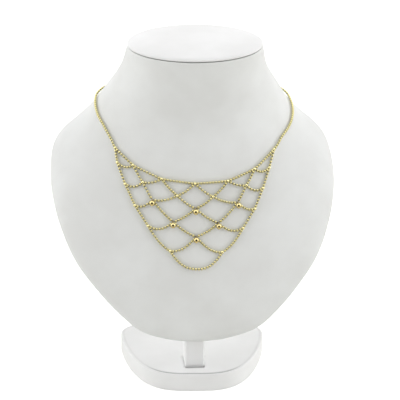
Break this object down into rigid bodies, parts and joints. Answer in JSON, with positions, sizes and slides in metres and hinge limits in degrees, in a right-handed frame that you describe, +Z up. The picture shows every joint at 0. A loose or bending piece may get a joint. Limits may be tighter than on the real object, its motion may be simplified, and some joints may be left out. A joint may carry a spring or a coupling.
{
  "type": "ball chain net necklace on a neck bust",
  "caption": "Gold ball chain bib necklace of netted swags with small bead drops, worn by a plain white neck bust on a post and low base.",
  "frame": {"origin": "middle of the bounding box's footprint, on the floor under the base", "axes": "+Z up, the chest faces -Y, +X is the wearer's left"},
  "size_m": [0.2116, 0.1129, 0.2581],
  "materials": {
    "polished_gold": "polished yellow gold",
    "white_leatherette": "soft satin leatherette"
  },
  "bodies": {
    "root": {"bust_form": "white_leatherette", "neck_cap": "white_leatherette", "stand_post": "white_leatherette", "stand_base": "white_leatherette", "neck_chain_left": "polished_gold", "collar_left_1": "polished_gold", "collar_left_2": "polished_gold", "collar_left_3": "polished_gold", "edge_left_1": "polished_gold", "edge_left_2": "polished_gold", "edge_left_3": "polished_gold", "edge_left_4": "polished_gold", "edge_left_5": "polished_gold", "swag_1_edge_left": "polished_gold", "swag_2_edge_left": "polished_gold", "swag_3_edge_left": "polished_gold", "swag_4_edge_left": "polished_gold", "swag_5_edge_left": "polished_gold", "neck_chain_right": "polished_gold", "collar_right_1": "polished_gold", "collar_right_2": "polished_gold", "collar_right_3": "polished_gold", "edge_right_1": "polished_gold", "edge_right_2": "polished_gold", "edge_right_3": "polished_gold", "edge_right_4": "polished_gold", "edge_right_5": "polished_gold", "swag_1_edge_right": "polished_gold", "swag_2_edge_right": "polished_gold", "swag_3_edge_right": "polished_gold", "swag_4_edge_right": "polished_gold", "swag_5_edge_right": "polished_gold", "swag_1_outer_left": "polished_gold", "swag_1_outer_right": "polished_gold", "swag_1_inner_left": "polished_gold", "swag_1_inner_right": "polished_gold", "swag_2_outer_left": "polished_gold", "drop_2_outer_left": "polished_gold", "swag_2_outer_right": "polished_gold", "drop_2_outer_right": "polished_gold", "swag_2_middle": "polished_gold", "drop_2_middle": "polished_gold", "swag_3_left": "polished_gold", "drop_3_left": "polished_gold", "swag_3_right": "polished_gold", "drop_3_right": "polished_gold", "swag_4_middle": "polished_gold", "drop_4_middle": "polished_gold", "edge_bottom": "polished_gold", "clasp": "polished_gold"}
  },
  "joints": []
}
